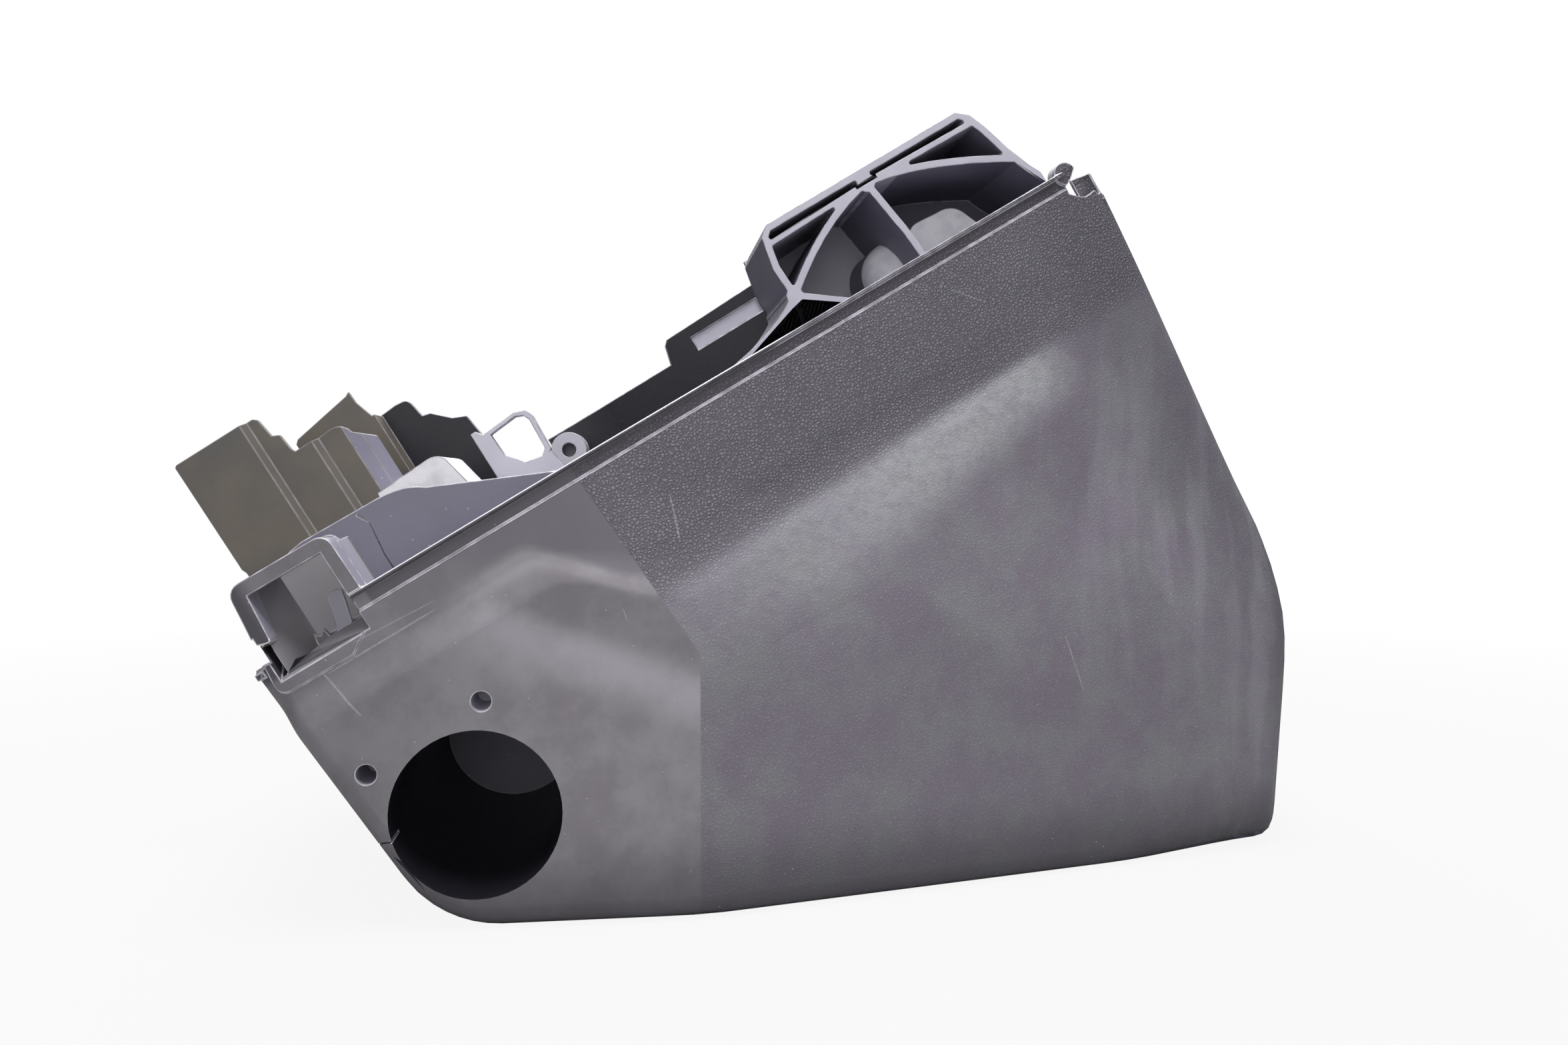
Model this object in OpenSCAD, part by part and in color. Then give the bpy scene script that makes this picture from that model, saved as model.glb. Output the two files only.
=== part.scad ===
// Steering support box of a personal watercraft: one injection moulding.
// The frame stands on its flat bottom. X runs to the nose, Y to the far panel, Z up.
// Most of the box is drawn in the rim frame: u runs up along the rim from the clip
// ear to the nose, v stands square to the rim, and Y stays as it is.

/* [Housing] */
// Slope of the open rim against the flat bottom, degrees
rim_slope = 31.2; // [29:0.2:33]
// Height of the rim above the bottom where the clip ear ends
rim_height = 151; // [146:1:158]
// Width over the two side panels at the wide end
body_width = 270; // [256:1:290]
// Rim length from the clip ear to the nose wall
rim_length = 400; // [392:1:410]
// Rim length taken by the clip ear, from its inner end to the end wall
ear_length = 61.5; // [59:0.5:64]
// Lean of the end wall against the square to the rim, degrees
end_lean = 3.4; // [2:0.1:6]
// Reach of the nose foot in front of the end of the clip ear
nose_reach = 462; // [454:1:468]
// Forward lean of the lower nose, degrees
nose_lean = 4; // [2:0.5:6]
// Wall thickness of the moulding
wall = 3; // [2.5:0.1:3.5]

/* [Plan taper] */
// Distance from the end of the clip ear to the bend of the side panels
bend_reach = 146; // [135:1:160]
// Angle that each side panel turns inwards past the bend, degrees
taper = 13; // [11:0.5:14]
// Distance by which the bend moves back up to the rim
bend_slant = 48; // [40:1:56]
// Width over which the bend is rounded
bend_soft = 14; // [10:1:18]

/* [Edge radii] */
// Radius of the end wall to the bottom, seen from the side
heel_radius = 52; // [46:1:60]
// Radius of the bottom to the nose, seen from the side
foot_radius = 14; // [10:1:20]
// Radius of the nose to its sloping upper wall, seen from the side
brow_radius = 170; // [150:1:180]
// Radius of the long edge between side panel and bottom
edge_radius = 10; // [8:0.5:12]
// Radius of the upright nose corner
nose_radius = 24; // [18:1:30]

/* [Side relief] */
// Depth of the grained strip under the rim behind the lower panel
relief_depth = 5; // [4:0.5:7]
// Drop of the ramp below the rim over the hose port
ramp_drop_port = 34; // [31:1:38]
// Drop of the ramp below the rim over the long side
ramp_drop_side = 68; // [62:1:74]
// Width of the ramp over the long side
ramp_width = 30; // [24:1:36]
// Width of the groove between rim and ledge
groove_width = 7; // [6:0.2:8]
// Depth of the groove behind the ledge
groove_depth = 1.6; // [1.2:0.1:1.8]
// Height of the lip at the edge of the rim
lip_height = 1.4; // [1.2:0.1:2]

/* [Hose port] */
// Bore of the hose port
port_bore = 74; // [68:1:78]
// Height of the port centre above the bottom
port_height = 51; // [49:0.5:54]
// Distance of the port centre in front of the end of the clip ear
port_reach = 46; // [43:1:49]
// Length of the port tube from the panel to its inner end
port_depth = 178; // [150:1:190]
// Bore of the two screw holes beside the port
screw_bore = 8.6; // [7:0.2:9.6]
// Depth of the two screw holes
screw_depth = 24; // [18:1:30]
// Distance of each screw hole from the port centre
screw_pitch = 49.5; // [48.5:0.5:51]
// Wall around each screw hole
boss_wall = 2.6; // [2:0.1:3.2]

/* [Clip ear] */
// Height of the clip ear above the rim
ear_height = 28; // [24:1:32]
// Depth of the clip ear behind the side panel
ear_depth = 33; // [26:1:38]
// Frame width of the clip ear
ear_frame = 6; // [5:0.5:7]

/* [Rear wing] */
// Height of the stepped wing above the rim
wing_height = 98; // [90:1:104]
// Distance of the wing behind the near panel
wing_inset = 85; // [78:1:92]
// Overhang of the wing past the end wall
wing_overhang = 1.5; // [1:0.5:3]
// Depth of one step of the wing
wing_step = 4; // [3.4:0.2:5]

/* [Column bracket] */
// Start of the bracket along the rim
bracket_start = 241; // [234:1:248]
// Height of the bracket above the rim
bracket_height = 54; // [50:1:58]
// Width of the bracket across the box
bracket_width = 92; // [80:1:100]
// Distance of the bracket face behind the near panel
bracket_inset = 90; // [84:1:94]
// Thickness of the ribs
rib = 3.8; // [3.2:0.1:4.4]
// Radius of the fillets between the ribs
rib_fillet = 1; // [0.6:0.1:1.4]
// Radius of the domed boss behind the ribs
boss_radius = 18; // [15:0.5:20]

/* [Far wall] */
// Height of the raised far wall above the rim
far_height = 29; // [25:1:33]
// Height of the lug on the far wall above the rim
lug_height = 44; // [40:1:48]

/* [Hidden] */
$fn = 48;
housing_grey = "#514f55";

half = body_width/2;
end_u = -ear_length;
nose_u = rim_length;
cs = cos(rim_slope);
sn = sin(rim_slope);
eps = 0.4;
column_steps = 8;

// World place of a point of the rim frame, with the end of the clip ear as zero
function gx(p) = p[0]*cs - p[1]*sn;
function gz(p) = rim_height + p[0]*sn + p[1]*cs;
// Rim frame place of a world point in the side view
function uv(x, z) = [x*cs + (z - rim_height)*sn, (z - rim_height)*cs - x*sn];

function unit(a) = a/norm(a);
function clamp01(t) = min(1, max(0, t));
function smooth(t) = let(c = clamp01(t)) c*c*(3 - 2*c);
function mix(a, b, t) = a + (b - a)*t;
// Round corner b of the line a, b, c as n + 1 points
function corner(a, b, c, r, n) =
    let(p = unit(a - b), q = unit(c - b))
    let(open = acos(p*q)/2)
    let(turn = 180 - 2*open)
    let(o = b + unit(p + q)*r/sin(open))
    let(s = b + p*r/tan(open) - o, e = b + q*r/tan(open) - o)
    [for (k = [0:n]) o + (s*sin((1 - k/n)*turn) + e*sin(k/n*turn))/sin(turn)];
// Points between a and b, ends left out
function between(a, b, n) = [for (k = [1:n - 1]) mix(a, b, k/n)];
function curve(a, b, c, n = 12) = [for (k = [0:n]) let(t = k/n) a*(1-t)*(1-t) + b*2*t*(1-t) + c*t*t];
function normal(path, i) =
    let(d = unit(path[min(i + 1, len(path) - 1)] - path[max(i - 1, 0)])) [-d[1], d[0]];
// Closed outline of a rib of thickness t along a path
function strip(path, t) = concat(
    [for (i = [0:len(path) - 1]) path[i] + normal(path, i)*t/2],
    [for (i = [len(path) - 1:-1:0]) path[i] - normal(path, i)*t/2]);

// Point where the lines a-b and c-d meet
function meet(a, b, c, d) =
    let(r = b - a, s = d - c, w = c - a) a + r*(w[0]*s[1] - w[1]*s[0])/(r[0]*s[1] - r[1]*s[0]);

// Lower outline of the side view, round the heel, the foot and the brow, moved in by d
lean = tan(end_lean);
function lower_line(d, steps) =
    let(end = [end_u + d/cos(end_lean), 0], top = [nose_u - d, 0])
    let(nose_x = nose_reach - d/cos(nose_lean))
    let(nose = uv(nose_x, 0), nose_up = uv(nose_x + 100*tan(nose_lean), 100))
    let(heel = meet(end, end + [lean, -1], uv(0, d), uv(100, d)))
    let(foot = meet(uv(0, d), uv(100, d), nose, nose_up), brow = meet(nose, nose_up, top, top - [0, 1]))
    let(arc_h = corner(end, heel, foot, heel_radius - d, steps))
    let(arc_f = corner(heel, foot, brow, foot_radius - d, 4))
    let(arc_b = corner(foot, brow, top, brow_radius - d, steps))
    concat(arc_h, between(arc_h[steps], arc_f[0], round(3.5*steps)), arc_f,
        between(arc_f[4], arc_b[0], round(steps*0.6)), arc_b);

// Distance from a point to the outline that the rounding follows
function seg_dist(p, a, b) =
    let(t = clamp01((p - a)*(b - a)/((b - a)*(b - a)))) norm(p - mix(a, b, t));
function edge_dist(p, line, d) =
    let(ends = concat([[line[0][0] + lean*line[0][1] - lean*60, 60]], line, [[nose_u - d, 60]]))
    min([for (i = [0:len(ends) - 2]) seg_dist(p, ends[i], ends[i + 1])]);

// Half width of the body at a point of the side view, before its edges are rounded
function hinge(x, w) = x < -w ? 0 : x > w ? x : (x + w)*(x + w)/(4*w);
function bend_at(p) = bend_reach - bend_slant*clamp01((gz(p) - 120)/70);
function half_width(p) = half - tan(taper)*hinge(gx(p) - bend_at(p), bend_soft);
function edge_r(p) = mix(edge_radius, nose_radius, smooth((gx(p) - nose_reach + 110)/100));
function rounding(d, r) = d >= r ? 0 : r - sqrt(max(0, r*r - (r - d)*(r - d)));

// Relief of the near panel: the strip under the rim lies back, a ramp leads out of it
ramp_from = 62;
ramp_to = 122;
fade_from = 235;
fade_to = 345;
function ramp_v(u) = -mix(ramp_drop_port, ramp_drop_side, smooth((u - ramp_from)/(ramp_to - ramp_from)));
function ramp_w(u) = mix(ramp_width*0.55, ramp_width, smooth((u - ramp_from)/(ramp_to - ramp_from)));
function fade(u) = 1 - smooth((u - fade_from)/(fade_to - fade_from));
function relief(p) = relief_depth*fade(p[0])*(1 - smooth((ramp_v(p[0]) - p[1])/ramp_w(p[0]) + 0.5));
ledge_drop = lip_height + groove_width;
function groove(v) = v < -ledge_drop + 0.1 || v > -lip_height - 0.1 ? 0 : groove_depth;

// One section of the shell square to the rim: near panel down, belly, far panel up.
// Rim rows are distances below the rim, edge rows are shares of the edge radius.
rim_rows = [0, lip_height, lip_height + 0.5, ledge_drop - 0.5, ledge_drop];
ramp_rows = [0.5, 0.33, 0.17, 0, -0.17, -0.33, -0.5];
edge_rows = [1.15, 0.68, 0.33, 0.1, 0];
function edge_part(low, r) = [for (e = edge_rows) low + r*e*1.2];
// The rows of the near panel follow the ramp, and at the nose they stay above the edge
row_gap = 6;
function near_rows(foot_u, low, r, rim) =
    let(w = ramp_w(foot_u), edge = edge_part(low, r))
    let(c = max(ramp_v(foot_u), edge[0] + w/2 + row_gap))
    concat([for (d = rim) -d], [mix(-ledge_drop, c + w/2, 0.55)], [for (k = ramp_rows) c + w*k],
        between(c - w/2, edge[0], 5), edge);
function far_rows(low, r) = concat([0], between(0, low + r*1.38, 4), edge_part(low, r));

// Foot on the rim of the section that passes through a point of the lower line
function column_foot(p, d) =
    let(span = nose_u - end_u - 2*d)
    (p[0] + p[1]*lean*(1 + (end_u + d)/span))/(1 + p[1]*lean/span);
function column_at(foot_u, low, v, p) = [mix(foot_u, p[0], v/low), v];

// Sections of the skin that lies d inside the body
function skin_sections(d, line, rim) = [for (p = line)
    let(fu = column_foot(p, d), r = max(edge_r(p) - d, 1))
    let(near_v = near_rows(fu, p[1], r, rim), far_v = far_rows(p[1], r))
    concat(
        [for (v = near_v)
            let(q = column_at(fu, p[1], v, p), g = d > 0 ? 0 : groove(v))
            let(cut = rounding(edge_dist(q, line, d), max(edge_r(q) - d, 1)))
            [q[0], -(half_width(q) - d - cut - relief(q) - g), v]],
        [for (k = [len(far_v) - 1:-1:0])
            let(v = far_v[k], q = column_at(fu, p[1], v, p))
            let(cut = rounding(edge_dist(q, line, d), max(edge_r(q) - d, 1)))
            [q[0], half_width(q) - d - cut, v]])];

// Point of an end section from which its whole outline is in view, so its face is a fan
cap_drop = 12;
function cap_centre(p, d) = [mix(column_foot(p, d), p[0], -cap_drop/p[1]), 0, -cap_drop];
function fan(ring, c) = [for (k = [0:len(ring) - 1]) [ring[k], ring[(k + 1) % len(ring)], c]];

// The open shell as one closed skin: outside, inside and the rim between them
module housing_shell() {
    outer_line = lower_line(0, column_steps);
    inner_line = lower_line(wall, column_steps);
    outer = skin_sections(0, outer_line, rim_rows);
    inner = skin_sections(wall, inner_line, [0]);
    n = len(outer);
    a = len(outer[0]);
    b = len(inner[0]);
    first = n*a;
    centre = first + n*b;
    points = concat([for (s = outer) each s], [for (s = inner) each s],
        [for (k = [0, n - 1]) cap_centre(outer_line[k], 0)],
        [for (k = [0, n - 1]) cap_centre(inner_line[k], wall)]);
    outside = [for (i = [0:n - 2]) for (j = [0:a - 2])
        each [[i*a + j, (i + 1)*a + j, (i + 1)*a + j + 1], [i*a + j, (i + 1)*a + j + 1, i*a + j + 1]]];
    inside = [for (i = [0:n - 2]) for (j = [0:b - 2]) let(k = first + i*b + j)
        each [[k, k + b + 1, k + b], [k, k + 1, k + b + 1]]];
    near_rim = [for (i = [0:n - 2]) let(o = i*a, k = first + i*b)
        each [[o, k + b, o + a], [o, k, k + b]]];
    far_rim = [for (i = [0:n - 2]) let(o = i*a + a - 1, k = first + i*b + b - 1)
        each [[o, o + a, k + b], [o, k + b, k]]];
    ends = concat(
        fan([for (j = [0:a - 1]) j], centre),
        fan([for (j = [a - 1:-1:0]) (n - 1)*a + j], centre + 1),
        fan([for (j = [b - 1:-1:0]) first + j], centre + 2),
        fan([for (j = [0:b - 1]) first + (n - 1)*b + j], centre + 3),
        [[0, a - 1, first + b - 1], [0, first + b - 1, first],
        [(n - 1)*a, first + (n - 1)*b, first + n*b - 1], [(n - 1)*a, first + n*b - 1, n*a - 1]]);
    polyhedron(points, concat(outside, inside, near_rim, far_rim, ends), convexity = 8);
}

// Turn of the rim frame into the world frame
module rim_frame() {
    translate([0, 0, rim_height]) rotate([0, -rim_slope, 0]) children();
}

// Extrude a side view across the box, from y0 to y1
module across(y0, y1) {
    translate([0, y1, 0]) rotate([90, 0, 0]) linear_extrude(y1 - y0) children();
}

// Inner faces of the two side walls at a point of the side view
function near_y(p) = -(half_width(p) - relief(p));
function far_y(p) = half_width(p);

// Port and screw holes, drawn in the world frame
screw_angles = [87, 157.5];
module at_port() {
    translate([port_reach, -half, port_height]) rotate([-90, 0, 0]) children();
}
module at_screws() {
    for (a = screw_angles)
        translate([port_reach + screw_pitch*cos(a), -half, port_height + screw_pitch*sin(a)])
            rotate([-90, 0, 0]) children();
}
drain_bore = 9;
module port_solids() {
    at_port() translate([0, 0, wall - eps]) cylinder(r = port_bore/2 + wall/3, h = edge_radius);
    at_port() translate([0, 0, edge_radius*0.8])
        cylinder(r = port_bore/2 + wall, h = port_depth + wall - edge_radius*0.8);
    at_screws() translate([0, 0, wall/2]) cylinder(r = screw_bore/2 + boss_wall, h = screw_depth + wall/2);
}
module port_cuts() {
    at_port() translate([0, 0, -edge_radius]) cylinder(r = port_bore/2, h = port_depth + edge_radius);
    at_port() translate([port_bore*0.2, -port_bore*0.08, 0])
        cylinder(r = drain_bore/2, h = port_depth + 2*wall);
    at_screws() translate([0, 0, -edge_radius]) cylinder(r = screw_bore/2, h = screw_depth + edge_radius);
}

// Decks that carry what stands above the rim, level with the bottom of the ear
deck_v = -9;
deck_split = 97;
deck_start = 182;
function deck_edge(us, side) = [for (u = us) let(p = [u, deck_v])
    [u, side < 0 ? near_y(p) + wall/2 : far_y(p) - wall/2]];
module deck(us) {
    back = [for (k = [len(us) - 1:-1:0]) us[k]];
    translate([0, 0, deck_v - wall]) linear_extrude(wall)
        polygon(concat(deck_edge(us, -1), deck_edge(back, 1)));
}

// Clip ear: a rectangular socket that stands on the near rim
ear_y = -(half - relief_depth) - 0.6;
ear_back = ear_y + ear_depth;
ear_end = -2;
ear_start = 12 - ear_length;
ear_foot = -22.5;
sill_low = -17;
sill_high = -10.7;
window_end = ear_end - ear_frame - 0.5;
module ear_solid() {
    top = ear_height;
    shape = concat(corner([ear_start, top], [ear_start - 6, ear_foot], [window_end, ear_foot - 1], 5, 4),
        [[-20, ear_foot - 0.5], [window_end - 1, sill_low + 1], [window_end, sill_high]],
        [[window_end, 0], [ear_end, 0]],
        corner([ear_end, 0], [ear_end - 0.5, top], [ear_start, top], 6, 5),
        corner([ear_end, top], [ear_start - 0.5, top], [ear_start - 3, ear_foot], 6, 5));
    across(ear_y, ear_back) polygon(shape);
}
module ear_cut() {
    top = ear_height - ear_frame*1.1;
    across(ear_y - 6, ear_back + 1) polygon([[ear_start + ear_frame, top],
        [ear_start + ear_frame - 2, 1], [ear_start + ear_frame - 4, -8], [ear_start - 1, sill_low + 1],
        [-29, sill_high], [window_end, sill_high], [window_end, top]]);
    // Behind the frame the socket has plain walls
    across(ear_y + wall + 1, ear_back + 1)
        polygon([[ear_start + ear_frame, ear_height - wall], [ear_start + ear_frame, sill_high],
            [ear_end - wall, sill_high], [ear_end - wall - 1.5, ear_height - wall]]);
    // Bevel of the sill
    translate([ear_start - 1.5, 0, 0]) rotate([90, 0, 90]) linear_extrude(window_end - ear_start + 1.5)
        polygon([[ear_y - 6, sill_low], [ear_y, sill_low], [ear_y + 14, sill_high], [ear_y + 14, 0],
            [ear_y - 6, 0]]);
    // Step in the outer end of the frame
    across(ear_y - 6, ear_y + 3.5) polygon([[end_u - 9, 1.5], [-52.3, 1.5], [-47.7, 0], [-48.3, -7.6],
        [end_u - 9, -7.4]]);
    // The end of the rim is cut back outside the ear
    across(ear_y - 6, ear_y + ear_depth/2) translate([end_u - 2, -7.5]) square([ear_start - end_u, 12]);
}
// Wedge that narrows the socket to the back, the tongue beside it and a small lug on the sill
module ear_inside() {
    translate([0, 0, sill_high - 6]) linear_extrude(ear_height - sill_high + 4.5)
        polygon([[ear_start + 1.5, ear_y + 4], [ear_start + 13, ear_back - eps],
            [ear_start + 1.5, ear_back - eps]]);
    across(ear_back - 4, ear_back - 1) {
        polygon([[-23.5, 4.7], [-21.7, 6.4], [-17.9, 6.1], [-16.3, 4.4], [-20.7, sill_high - 2],
            [-28.3, sill_high - 2]]);
        polygon([[-38.5, sill_high - 3], [-37.4, -6.4], [-34.8, -8.2], [-32.2, -6], [-31, sill_high - 3]]);
    }
}

// Raised inner wall behind the rim, with its crack
wall_gap = 17;
inner_wall_end = deck_split - 3;
module inner_wall() {
    y = ear_y + wall_gap;
    across(y, y + wall) polygon(concat([[ear_end - 3, deck_v - 1], [window_end, ear_height - ear_frame]],
        [[ear_start + 14, ear_height - 2], [-23, ear_height + 2], [-17, ear_height + 3]],
        curve([20, ear_height + 2.5], [34, ear_height + 2], [41, ear_height - 4], 6),
        [[inner_wall_end, 0.5], [inner_wall_end, deck_v - 1]]));
    translate([0, 0, -4]) {
        linear_extrude(wall) polygon([[ear_end - 2, ear_y + wall], [inner_wall_end, ear_y + wall],
            [inner_wall_end, y + wall/2], [ear_end - 2, y + wall/2]]);
        // Hollow fillet from the ear into the wall
        linear_extrude(ear_height - 1) polygon(concat(
            [[ear_end - wall, y + wall/2], [ear_end - wall, y - ear_fillet]],
            [for (k = [0:6]) [ear_end + ear_fillet*(1 - cos(15*k)), y + eps - ear_fillet*(1 - sin(15*k))]],
            [[ear_end + ear_fillet, y + wall/2]]));
    }
}
ear_fillet = 6;
crack_width = 0.7;
module inner_wall_crack() {
    across(ear_y + wall_gap - 1, ear_y + wall_gap + wall + 1)
        polygon(strip([[9.5, ear_height + 0.5], [12.4, ear_height - 4], [12.2, 20], [10.6, 8], [10.6, -2]],
            crack_width));
}

// Stepped wing: one sheet folded in plan, cut to its outline in the side view
wing_y = -half + wing_inset;
plates_foot = -62;
module wing() {
    h = wing_height;
    left = end_u - wing_overhang;
    s = wing_step;
    plan = [[left, 0], [-27, 0], [-24.5, s], [-3, s], [-0.5, 2*s], [12, 2*s], [17, 2*s + 3], [21, 24]];
    intersection() {
        translate([0, wing_y, plates_foot]) linear_extrude(h + 70) polygon(strip(plan, wall));
        across(wing_y - 10, wing_y + 60) polygon(concat([[left - 2, h - 54], [left - 1, h - 2]],
            [[left + 1, h], [-21, h + 1.5], [-19, h], [-17.5, h - 10], [-14, h - 11.5], [-13, h - 20]],
            [[-12, h - 22], [-1, h - 21.5]], corner([-1, h - 21.5], [14, h - 20], [19, h - 60], 7, 4),
            [[24, h - 34], [24, plates_foot], [end_u + 2, plates_foot], [end_u + 1, 0], [left + 1, h - 61]]));
    }
}
// Two deeper plates behind the wing, joined by a return
plate_y = wing_y + 70;
module rear_plates() {
    h = wing_height;
    across(plate_y, plate_y + wall) polygon([[-24, plates_foot], [-24, h - 9], [-22, h - 7], [12, h],
        [14.5, h + 1.5], [15, h - 6], [19, h - 18], [19, plates_foot]]);
    across(plate_y, plate_y + 20) translate([17, plates_foot]) square([wall, h - 16 - plates_foot]);
    across(plate_y + 20, plate_y + 20 + wall) polygon(concat([[17, plates_foot], [17, h - 16], [29, h - 14.5]],
        corner([29, h - 14.5], [37, h - 15], [38.8, h - 27], 4, 3),
        [[39, h - 27], [43.6, h - 28], [52.6, h - 36.5], [60, h - 39.5], [62, h - 54]],
        [[66, deck_v], [66, plates_foot]]));
}

// Hollow hump and the see-through loop beside it
hump_y = [wing_y - 24, wing_y + 36];
module hump() {
    across(hump_y[0], hump_y[1]) polygon(concat([[8, deck_v - 1], [15, 36]],
        corner([15, 36], [48, 38], [56, 24], 8, 5), [[60, deck_v - 1]]));
}
// The hump is open from below, through the deck
module hump_hollow() {
    across(hump_y[0] + wall, hump_y[1] - wall)
        polygon([[12, deck_v - 2*wall], [17.5, 32.5], [44, 34], [52, 22], [56, deck_v - 2*wall]]);
}
module loop() {
    y0 = wing_y + 46;
    y1 = wing_y + 55;
    ring = [[66, 40.5], [85.5, 42.4], [91.5, 40.5], [93.4, 36], [92.5, 16], [88, 12], [76, 13.5], [66, 24]];
    hole = [[69, 38.5], [85, 40.2], [89, 38.6], [90.6, 35], [89.8, 18], [86.5, 15], [77, 16.6], [69.5, 26]];
    difference() {
        across(y0, y1) polygon(ring);
        across(y0 - 1, y1 + 1) polygon(hole);
    }
    across(y0, y1) polygon([[60, deck_v - 1], [60, 44], [63, 44], [67.5, 38], [67.5, 25], [77, 15], [92, 15],
        [96, deck_v - 1]]);
}

// Strip of wall that follows the plan of the far panel, a little inside its outer face
module far_strip(us, v, shape) {
    outer = [for (u = us) let(p = [u, v]) [u, far_y(p) - eps]];
    inner = [for (k = [len(us) - 1:-1:0]) [us[k], outer[k][1] - wall]];
    intersection() {
        translate([0, 0, -20]) linear_extrude(90) polygon(concat(outer, inner));
        across(0, half + 5) polygon(shape);
    }
}
lug_start = 182;
lug_end = 267;
module far_wall() {
    h = far_height;
    far_strip([80, 98, 106, 114, 122, 132, nose_u - 6], 0, [[88, deck_v - 1], [88, h], [lug_start - 2, h],
        [lug_start + 1, lug_height - 3], [lug_start + 4, lug_height], [lug_end - 3, lug_height + 2],
        [lug_end, lug_height], [lug_end + 3, h], [nose_u - 12, h - 3], [nose_u - 8, deck_v - 1]]);
}
// Shallow pocket in the inner face of the lug, turned with the taper of the wall
lug_pocket = [200, 28];
module far_lug_pocket() {
    p = [lug_pocket[0], 0];
    turn = atan2(far_y(p + [48, 0]) - far_y(p), 48);
    translate([p[0], far_y(p) - wall, 0]) rotate([0, 0, turn])
        across(-6, wall*0.4) translate([0, lug_pocket[1]]) square([48, 9]);
}
// Boss with a blind hole on the inside of the far wall
far_boss = [deck_split, 15];
far_boss_r = 11;
module far_boss_solid() {
    across(far_y(far_boss) - 34, far_y(far_boss) - wall/2) translate(far_boss) circle(far_boss_r);
}
module far_boss_cut() {
    across(far_y(far_boss) - 40, far_y(far_boss) - 12) translate(far_boss) circle(screw_bore/2);
}

// Steering column bracket: a lattice of ribs in front of one web
bracket_y = -half + bracket_inset;
bracket_back = bracket_y + bracket_width;
knot = [303, 48];
star = [bracket_start, 17];
module bracket() {
    h = bracket_height;
    left = bracket_start + 1;
    base = deck_v - 1;
    right = [[left + 120, h], [left + 125, h - 4], [left + 129, h - 13], [left + 134, h - 28],
        [left + 140, h - 42], [left + 147, 0], [left + 152, base]];
    across(bracket_y, bracket_back) offset(r = -rib_fillet, $fn = 12) offset(delta = rib_fillet) {
        polygon(strip(concat([star, [left - 2, 34], [left + 1, h - 4], [left + 5, h - 0.5]], right), rib));
        polygon(strip([[left + 3, h - 8], knot], rib*0.8));
        polygon(strip([knot, [left + 125, h - 7]], rib*0.8));
        polygon(strip(curve(knot, [335, 44], [left + 136, 20]), rib));
        polygon(strip([knot, [309, 14], [311, base]], rib));
        polygon(strip(curve(knot, [273, 43], star), rib));
        polygon(strip([star, [263, 1], [275, base]], rib));
        polygon(strip(concat(curve(star, [226, 5], [197, 1], 8), [[deck_start + 3, base]]), rib));
        polygon(strip([star, [bracket_start - 6, base]], rib));
        translate(knot) circle(rib*1.3);
        translate(star) circle(rib*1.2);
    }
    across(bracket_back - wall, bracket_back)
        polygon(concat([star, [left, h]], right, [[deck_start + 4, base], [197, 1], [226, 8]]));
    // Domed boss and the block beside it, both deeper than the ribs
    translate([boss_at[0], bracket_y + 34 + boss_radius, boss_at[1]]) sphere(boss_radius, $fn = 24);
    across(bracket_y + 34 + boss_radius, bracket_back) translate(boss_at) circle(boss_radius, $fn = 24);
    across(bracket_y + 40, bracket_back) polygon(concat([[317, base]],
        corner([317, base], [321, 20], [350, 18], 7, 4), corner([321, 20], [351, 18], [364, base], 12, 5),
        [[364, base]]));
}
boss_at = [305, 2];
// Slot in the knot of the ribs
module knot_slot() {
    across(bracket_y - 1, bracket_y + 30) translate(knot - [6, 0.6]) square([12, 1.6]);
}

// Rounded lug at the nose end of the rim
lug_u = nose_u - 18.5;
module rim_lug() {
    y = near_y([lug_u, 0]);
    across(y, y + 10) translate([lug_u, -1.5]) circle(5.6);
}
// Corner of the near panel that is broken off
module broken_corner() {
    across(-half, -half/4) translate([nose_u, 0]) polygon([[-13, 9], [-12.5, -1], [-17, -5], [-20.5, -7],
        [-21.5, -11], [-17, -14.5], [-13.3, -16.5], [-7, -15.8], [-6, -18.3], [0, -20.5], [4, -24.5], [4, 9]]);
}
// Bent shard that is left standing behind the broken corner
module corner_shard() {
    y = near_y([lug_u, 0]) + 5;
    translate([0, 0, -22]) intersection() {
        linear_extrude(20)
            polygon(strip([for (k = [-3:3]) [nose_u - 9.5 + 6*sin(22*k), y + 6*cos(22*k)]], wall/2));
        across(y - 6, y + 12) polygon([[nose_u - 18, 0], [nose_u - 15, 16.5], [nose_u - 10, 16],
            [nose_u - 3, 14.5], [nose_u - 4, 0]]);
    }
}
// Crack between the hose port and the edge of the panel
module port_crack() {
    path = [[1, 36], [6.5, 39.5], [10, 40.2], [13, 43]];
    across(-half - 1, -half + 17) polygon(strip([for (p = path) uv(p[0], p[1])], crack_width));
}

function wing_x() = gx([end_u - wing_overhang - 1, wing_height]);
nose_x = max([for (p = lower_line(0, column_steps)) gx(p)]);
origin_x = (wing_x() + nose_x)/2;

module support_box() {
    color(housing_grey) translate([-origin_x, 0, 0]) union() {
        difference() {
            union() {
                rim_frame() {
                    housing_shell();
                    deck([end_u + wall/2, 0, deck_split]);
                    deck([deck_start, 250, 320, nose_u - wall/2]);
                    ear_solid();
                    inner_wall();
                    wing();
                    rear_plates();
                    hump();
                    loop();
                    far_wall();
                    far_boss_solid();
                    bracket();
                    rim_lug();
                }
                port_solids();
            }
            rim_frame() {
                hump_hollow();
                ear_cut();
                inner_wall_crack();
                far_boss_cut();
                far_lug_pocket();
                knot_slot();
                broken_corner();
                port_crack();
            }
            port_cuts();
        }
        rim_frame() {
            ear_inside();
            corner_shard();
        }
    }
}

support_box();
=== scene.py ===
"""Looks of the steering support box: one moulding of filled plastic, on a white table in soft light."""
import math

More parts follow.
